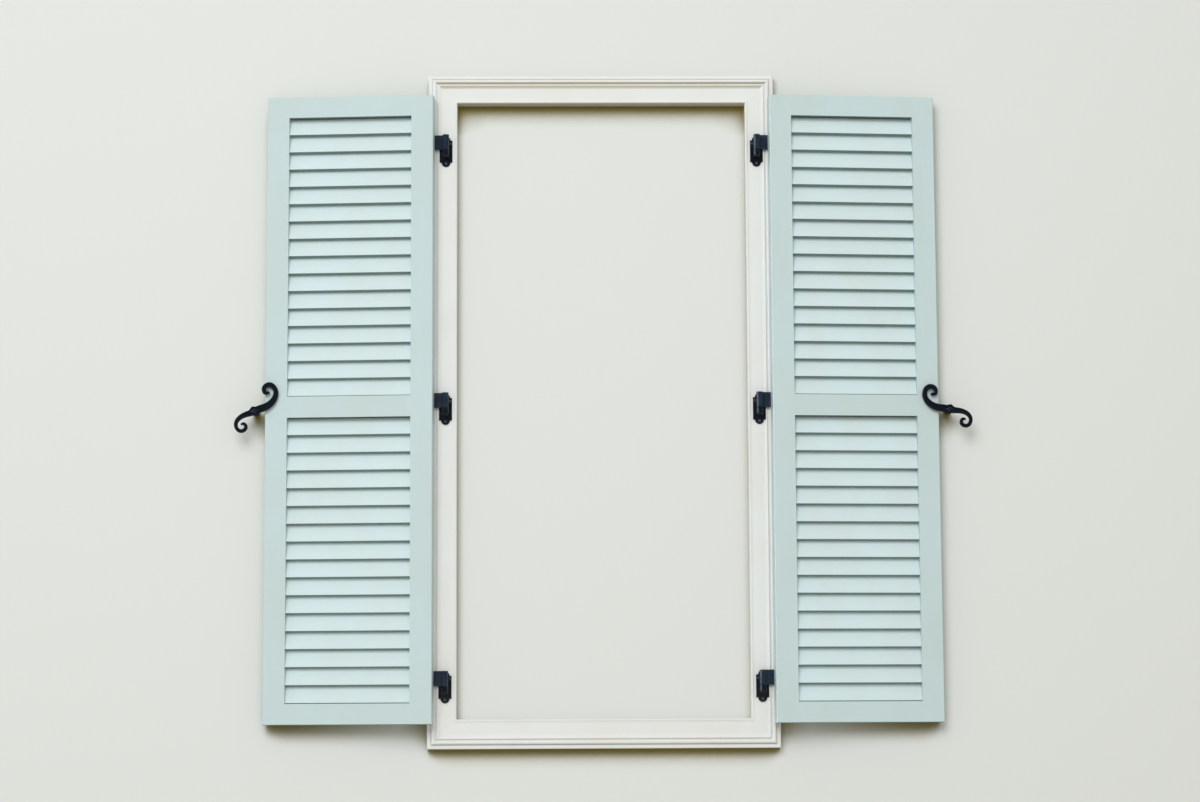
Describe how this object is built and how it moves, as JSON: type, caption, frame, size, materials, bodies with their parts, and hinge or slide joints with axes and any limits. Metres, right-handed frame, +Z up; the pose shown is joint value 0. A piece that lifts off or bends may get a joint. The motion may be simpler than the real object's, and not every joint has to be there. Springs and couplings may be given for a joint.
{
  "type": "louvred window shutters with casing",
  "caption": "Pair of fixed-louvre window shutters on a moulded casing, hung on pintle hinges and held open by scrolled shutter dogs.",
  "frame": {"origin": "middle of the back face of the casing's foot, on the wall plane", "axes": "+X to the right along the wall, +Y into the wall, +Z up"},
  "size_m": [1.7837, 0.1196, 1.642],
  "materials": {
    "frame_paint": "satin paint, duck-egg green",
    "louvre_paint": "satin paint, duck-egg green",
    "casing_paint": "satin white paint",
    "black_iron": "black painted iron"
  },
  "bodies": {
    "casing": {"casing_head": "casing_paint", "casing_foot": "casing_paint", "casing_left_jamb": "casing_paint", "casing_right_jamb": "casing_paint", "left_top_pintle": "black_iron", "left_middle_pintle": "black_iron", "left_bottom_pintle": "black_iron", "left_dog_post": "black_iron", "left_dog_cap": "black_iron", "right_top_pintle": "black_iron", "right_middle_pintle": "black_iron", "right_bottom_pintle": "black_iron", "right_dog_post": "black_iron", "right_dog_cap": "black_iron"},
    "left_leaf": {"left_hinge_stile": "frame_paint", "left_outer_stile": "frame_paint", "left_top_rail": "frame_paint", "left_middle_rail": "frame_paint", "left_bottom_rail": "frame_paint", "left_upper_louvres": "louvre_paint", "left_lower_louvres": "louvre_paint", "left_top_strap": "black_iron", "left_middle_strap": "black_iron", "left_bottom_strap": "black_iron"},
    "left_dog": {"left_dog": "black_iron"},
    "right_leaf": {"right_hinge_stile": "frame_paint", "right_outer_stile": "frame_paint", "right_top_rail": "frame_paint", "right_middle_rail": "frame_paint", "right_bottom_rail": "frame_paint", "right_upper_louvres": "louvre_paint", "right_lower_louvres": "louvre_paint", "right_top_strap": "black_iron", "right_middle_strap": "black_iron", "right_bottom_strap": "black_iron"},
    "right_dog": {"right_dog": "black_iron"}
  },
  "joints": [
    {"name": "left_leaf_swing", "type": "hinge", "parent": "casing", "child": "left_leaf", "pos_m": [-0.38, -0.047, 0.78], "axis": [0, 0, 1], "range_deg": [0, 145]},
    {"name": "right_leaf_swing", "type": "hinge", "parent": "casing", "child": "right_leaf", "pos_m": [0.38, -0.047, 0.78], "axis": [0, 0, -1], "range_deg": [0, 145]},
    {"name": "left_dog_swivel", "type": "hinge", "parent": "casing", "child": "left_dog", "pos_m": [-0.839, -0.0483, 0.77], "axis": [0, 1, 0], "continuous": true},
    {"name": "right_dog_swivel", "type": "hinge", "parent": "casing", "child": "right_dog", "pos_m": [0.839, -0.0483, 0.77], "axis": [0, 1, 0], "continuous": true}
  ]
}
